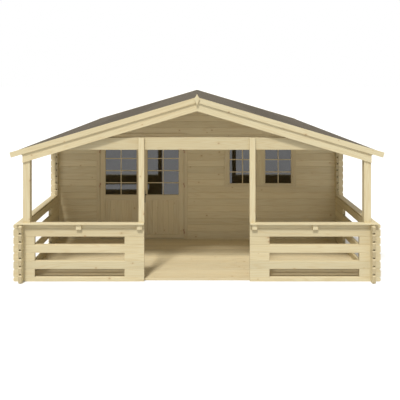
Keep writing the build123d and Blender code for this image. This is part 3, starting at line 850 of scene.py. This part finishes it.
def ornament():
    """A kite with eased edges, held by two screws."""
    low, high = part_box("ridge_ornament")
    middle = (low.x + high.x) / 2
    widest = high.z - ORNAMENT_WIDEST
    outline = ((middle, high.z), (high.x, widest), (middle, low.z), (low.x, widest))
    mesh = bmesh.new()
    face = mesh.faces.new([mesh.verts.new((x, low.y, z)) for x, z in outline])
    grown = bmesh.ops.extrude_face_region(mesh, geom=[face])["geom"]
    moved = [item for item in grown if isinstance(item, bmesh.types.BMVert)]
    bmesh.ops.translate(mesh, verts=moved, vec=(0.0, high.y - low.y, 0.0))
    bmesh.ops.bevel(mesh, geom=list(mesh.edges), offset=ORNAMENT_EASE,
                    segments=EASE_SEGMENTS, affect="EDGES")
    bmesh.ops.recalc_face_normals(mesh, faces=mesh.faces)
    place_piece("ornament_kite", mesh, "cabin", upright, "spruce_board", "ridge_ornament")
    screws = Heads("ornament_screws")
    for z in (widest, (widest + low.z) / 2):
        screws.add((middle, low.y, z), (0, -1, 0))
    screws.finish("cabin")


ornament()

# Joinery: stiles, rails, boards, bars and beads
TRIM_WIDTH = 0.059
MID_RAIL = 0.092
BOTTOM_RAIL = 0.060
PANEL_THICKNESS = 0.018
BAR_WIDTH = 0.015
BAR_DEPTH = 0.007
BEAD_WIDTH = 0.007
BEAD_EASE = 0.002
FIT = 0.0002  # hairline between two pieces that touch
DOOR_ROWS = 4
HEAD_NAIL_SPACING = 0.35
WINDOW_SILL_BOARD = 0.036
WINDOW_MULLION = 0.118
WINDOW_BAR_HEIGHTS = (1.215, 1.434)


def bars(boards, pane_low, pane_high, face_y, outward, heights):
    """Glazing bars on one side of a pane: one upright, with short bars between."""
    near, far = sorted((face_y + outward * FIT, face_y + outward * BAR_DEPTH))
    middle = (pane_low.x + pane_high.x) / 2
    left, right = middle - BAR_WIDTH / 2, middle + BAR_WIDTH / 2
    boards.add((left, near, pane_low.z + FIT), (right, far, pane_high.z - FIT), Z, Y)
    for height in heights:
        for start, stop in ((pane_low.x, left), (right, pane_high.x)):
            boards.add((start + FIT, near, height - BAR_WIDTH / 2),
                       (stop - FIT, far, height + BAR_WIDTH / 2), X, Y)


def beads(boards, pane_low, pane_high, face_y, outward):
    """Thin beads that hold a pane, on one side of it."""
    near, far = sorted((face_y + outward * FIT, face_y + outward * BEAD_WIDTH))
    for x in (pane_low.x + FIT, pane_high.x - BEAD_WIDTH - FIT):
        boards.add((x, near, pane_low.z + FIT), (x + BEAD_WIDTH, far, pane_high.z - FIT),
                   Z, Y, ease=BEAD_EASE)
    for z in (pane_low.z + FIT, pane_high.z - BEAD_WIDTH - FIT):
        boards.add((pane_low.x + BEAD_WIDTH + 2 * FIT, near, z),
                   (pane_high.x - BEAD_WIDTH - 2 * FIT, far, z + BEAD_WIDTH),
                   X, Y, ease=BEAD_EASE)


def glazing(boards, pane_low, pane_high, heights):
    """Bars and beads on both sides of a pane."""
    for face_y, outward in ((pane_low.y, -1), (pane_high.y, 1)):
        bars(boards, pane_low, pane_high, face_y, outward, heights)
        beads(boards, pane_low, pane_high, face_y, outward)


def framed(boards, low, high, hole_low, hole_high, rails):
    """Two stiles over the full height, with rails between them. A rail is given by the
    heights of its lower and upper edge."""
    boards.add(low, (hole_low.x, high.y, high.z), Z, Y)
    boards.add((hole_high.x, low.y, low.z), high, Z, Y)
    for bottom, top in rails:
        if top - bottom > FIT:
            boards.add((hole_low.x + FIT, low.y, bottom),
                       (hole_high.x - FIT, high.y, top), X, Y)


def door(side, seed):
    """A leaf of framed timber with upright boards below and barred glass above."""
    low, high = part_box(side + "_door_leaf")
    pane_low, pane_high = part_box(side + "_door_glass")
    leaf = Boards(side + "_leaf_timber", seed)
    panel_top = pane_low.z - MID_RAIL
    panel_bottom = low.z + BOTTOM_RAIL
    framed(leaf, low, high, pane_low, pane_high,
           ((low.z, panel_bottom), (panel_top, pane_low.z), (pane_high.z, high.z)))
    middle_y = (low.y + high.y) / 2
    for left, right in pairs(steps(pane_low.x, pane_high.x, PANEL_BOARD)):
        leaf.add((left + BOARD_GAP, middle_y - PANEL_THICKNESS / 2, panel_bottom + FIT),
                 (right - BOARD_GAP, middle_y + PANEL_THICKNESS / 2, panel_top - FIT),
                 Z, Y, ease=PLANK_EASE)
    heights = [pane_low.z + (pane_high.z - pane_low.z) * row / DOOR_ROWS
               for row in range(1, DOOR_ROWS)]
    glazing(leaf, pane_low, pane_high, heights)
    leaf.finish(side + "_door", joinery_wood, "joinery", side + "_door_leaf")


def trim_boards():
    """Trim round the door and the window, nailed to the wall."""
    trims = Boards("trim_timber", seed=61)
    nails = Heads("trim_nails")
    for node, sill in (("door_trim", 0.0), ("window_trim", WINDOW_SILL_BOARD)):
        low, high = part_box(node)
        hole_low = Vector((low.x + TRIM_WIDTH, low.y, low.z + sill))
        hole_high = Vector((high.x - TRIM_WIDTH, high.y, high.z - TRIM_WIDTH))
        framed(trims, low, high, hole_low, hole_high,
               ((low.z, hole_low.z), (hole_high.z, high.z)))
        for x in (low.x + TRIM_WIDTH / 2, high.x - TRIM_WIDTH / 2):
            for z in steps(low.z + TRIM_WIDTH, high.z - TRIM_WIDTH, HEAD_NAIL_SPACING):
                nails.add((x, low.y, z), (0, -1, 0))
    trims.finish("cabin", joinery_wood, "joinery", "door_trim", "window_trim")
    nails.finish("cabin")


def window():
    """Two sashes with barred glass."""
    low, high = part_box("window_sashes")
    glass_low, glass_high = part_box("window_glass")
    middle = (low.x + high.x) / 2
    inner = glass_low.x - low.x
    sashes = Boards("sash_timber", seed=71)
    gap = WINDOW_MULLION / 2 + low.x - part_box("window_trim")[0].x - TRIM_WIDTH
    for left, right in ((low.x, middle - gap), (middle + gap, high.x)):
        pane_low = Vector((left + inner, glass_low.y, glass_low.z))
        pane_high = Vector((right - inner, glass_high.y, glass_high.z))
        framed(sashes, Vector((left, low.y, low.z)), Vector((right, high.y, high.z)),
               pane_low, pane_high, ((low.z, pane_low.z), (pane_high.z, high.z)))
        glazing(sashes, pane_low, pane_high, WINDOW_BAR_HEIGHTS)
    sashes.finish("cabin", joinery_wood, "joinery", "window_sashes")


door("left", seed=51)
door("right", seed=52)
trim_boards()
window()

# Door handle
PLATE_WIDTH = 0.034
PLATE_THICKNESS = 0.004
PLATE_EASE = 0.0015
LEVER_HEIGHT = 0.822
LEVER_THICKNESS = 0.016
LEVER_EASE = 0.005
NECK_RADIUS = 0.009
NECK_SIDES = 20
NECK_INSET = 0.001
KEYHOLE_DROP = 0.072
KEYHOLE_RADIUS = 0.006
KEYHOLE_RISE = 0.0004
SCREW_INSET = 0.012
SCREW_RADIUS = 0.0035


def door_handle():
    """Long plates with a lever, a keyhole and screws on both faces of the right leaf."""
    low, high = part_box("door_handles")
    leaf_low, leaf_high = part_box("right_door_leaf")
    furniture = Boards("handle_furniture", seed=81)
    marks = Heads("handle_screws")
    plate_x = low.x + PLATE_WIDTH / 2
    turn = Matrix.Rotation(QUARTER_TURN, MATRIX_ROWS, "X")
    for face_y, end_y, outward in ((leaf_low.y, low.y, -1), (leaf_high.y, high.y, 1)):
        plate_y = face_y + outward * PLATE_THICKNESS
        near, far = sorted((face_y, plate_y))
        furniture.add((low.x, near, low.z), (low.x + PLATE_WIDTH, far, high.z), Z, Y,
                      ease=PLATE_EASE)
        neck_middle = Matrix.Translation((plate_x, (plate_y + end_y) / 2, LEVER_HEIGHT))
        bmesh.ops.create_cone(furniture.mesh, cap_ends=True, segments=NECK_SIDES,
                              radius1=NECK_RADIUS, radius2=NECK_RADIUS,
                              depth=abs(end_y - plate_y) - NECK_INSET,
                              matrix=neck_middle @ turn)
        near, far = sorted((end_y, end_y - outward * LEVER_THICKNESS))
        furniture.add((plate_x - NECK_RADIUS, near, LEVER_HEIGHT - LEVER_THICKNESS / 2),
                      (high.x, far, LEVER_HEIGHT + LEVER_THICKNESS / 2), X, Y,
                      ease=LEVER_EASE)
        for z in (low.z + SCREW_INSET, high.z - SCREW_INSET):
            marks.add((plate_x, plate_y, z), (0, outward, 0), SCREW_RADIUS)
        marks.add((plate_x, plate_y, LEVER_HEIGHT - KEYHOLE_DROP), (0, outward, 0),
                  KEYHOLE_RADIUS, KEYHOLE_RISE)
    furniture.finish("right_door", black_metal, "handle_black", "door_handles")
    marks.finish("right_door")


door_handle()

# Studio floor
STUDIO_REACH = 220.0
STUDIO_DROP = 0.002  # below the cabin


def studio_ground():
    """A wide flat floor under the cabin, which isn't part of it."""
    data = bpy.data.meshes.new("studio_floor")
    corners = ((-1, -1), (1, -1), (1, 1), (-1, 1))
    data.from_pydata([(x * STUDIO_REACH, y * STUDIO_REACH, -STUDIO_DROP)
                      for x, y in corners], [], [range(len(corners))])
    data.materials.append(floor_material())
    ground = bpy.data.objects.new("studio_floor", data)
    scene.collection.objects.link(ground)


studio_ground()

scene.view_settings.view_transform = "Standard"
